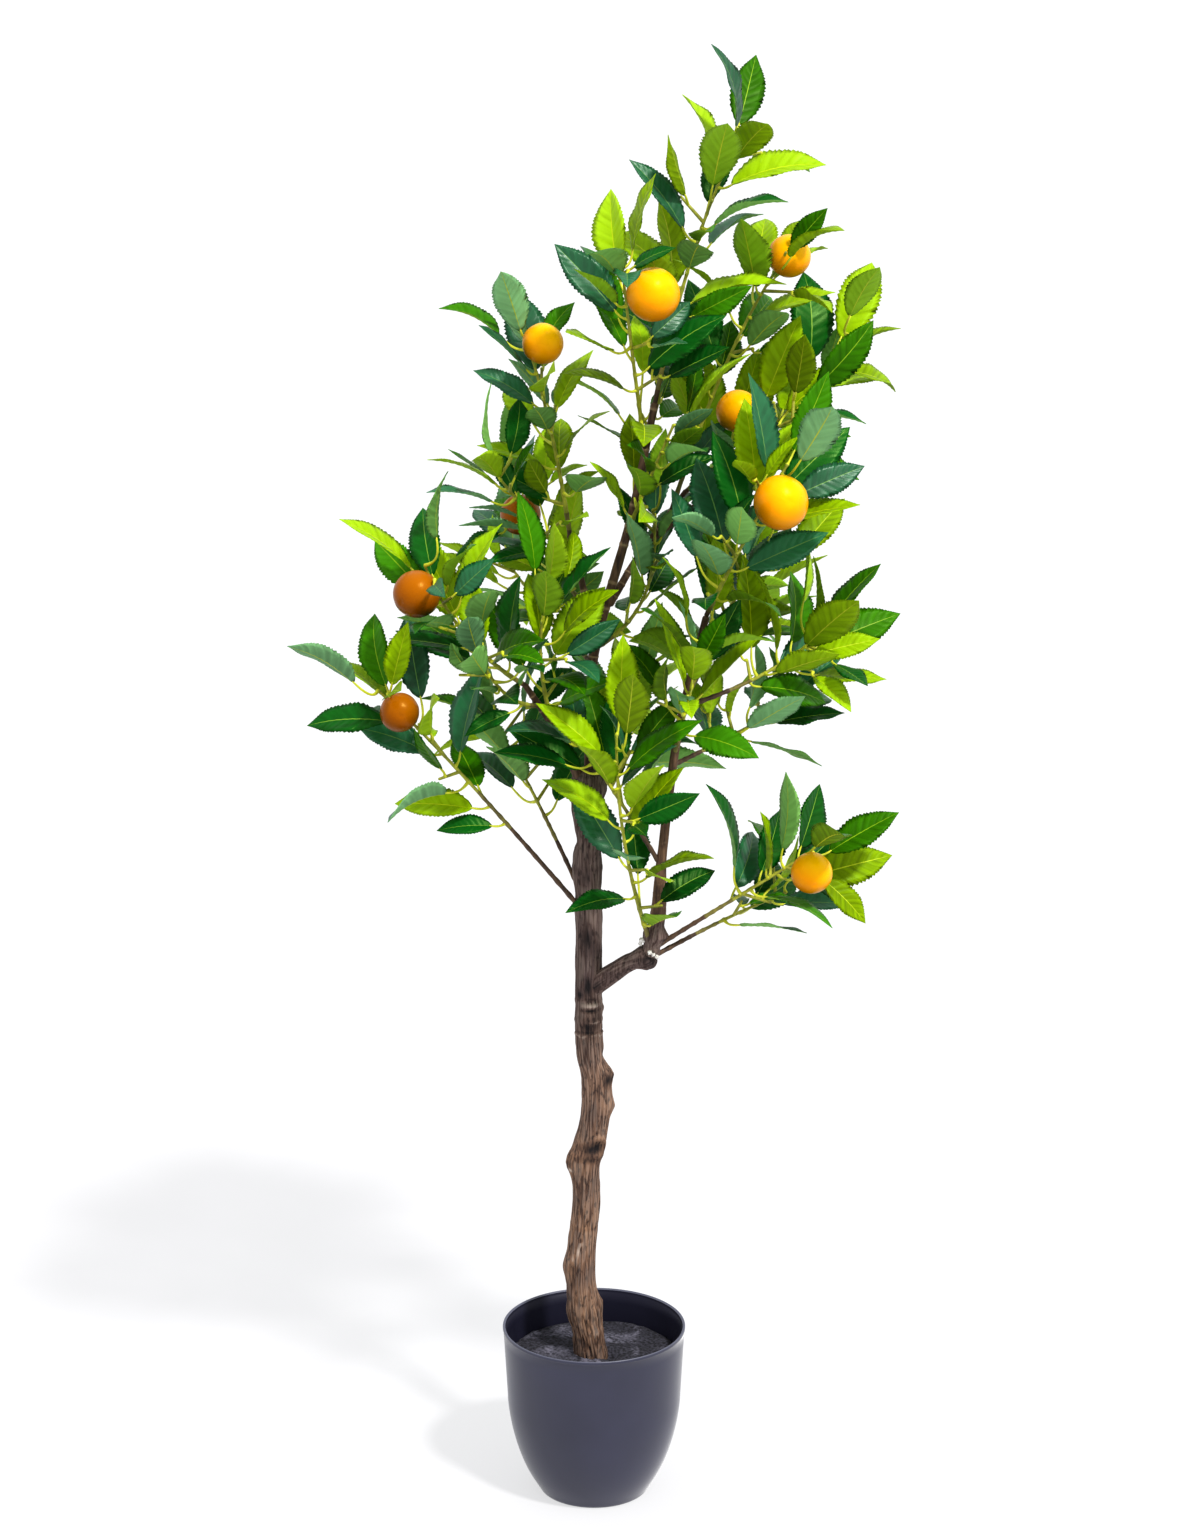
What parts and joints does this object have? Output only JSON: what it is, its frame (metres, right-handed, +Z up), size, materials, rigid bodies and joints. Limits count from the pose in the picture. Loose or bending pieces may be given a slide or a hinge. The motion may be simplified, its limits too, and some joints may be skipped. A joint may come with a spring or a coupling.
{
  "type": "artificial potted orange tree",
  "caption": "Slender artificial orange tree with a forked trunk, upright boughs, glossy leaves and small oranges, set in a plain dark round pot.",
  "frame": {"origin": "centre of the pot's flat underside", "axes": "+Z up along the pot's axis, -Y towards the side the tree is usually seen from, +X to the right from there"},
  "size_m": [0.4782, 0.3821, 1.1944],
  "materials": {
    "pot": "satin dark blue-grey moulded plastic",
    "fill": "rough dark grey cement",
    "bark": "brown bark with fine grooves and knobs",
    "foliage": "semi-gloss dark and light green leaves on yellow-green stems, with satin orange fruit"
  },
  "bodies": {
    "root": {"pot": "pot", "pot_fill": "fill", "trunk": "bark", "side_arm": "bark", "right_bough": "bark", "leader": "bark", "left_fork": "bark", "right_fork": "bark", "left_bough": "bark", "foliage_top": "foliage", "foliage_upper_front": "foliage", "foliage_upper_left": "foliage", "foliage_left_back": "foliage", "foliage_left_mid": "foliage", "foliage_left_low": "foliage", "foliage_left_inner": "foliage", "foliage_centre_left": "foliage", "foliage_centre_front": "foliage", "foliage_right_low": "foliage", "foliage_right_low_back": "foliage", "foliage_right_mid": "foliage", "foliage_right_mid_back": "foliage", "foliage_right_inner": "foliage", "foliage_right_front": "foliage", "foliage_right_upper": "foliage", "foliage_right_top": "foliage", "foliage_right_edge": "foliage", "foliage_centre": "foliage", "foliage_front_mid": "foliage", "foliage_centre_high": "foliage", "foliage_left_front": "foliage", "foliage_right_centre": "foliage", "foliage_left_up": "foliage", "foliage_back_left": "foliage", "foliage_back_right": "foliage", "foliage_back_top": "foliage", "foliage_back_low": "foliage"}
  },
  "joints": []
}
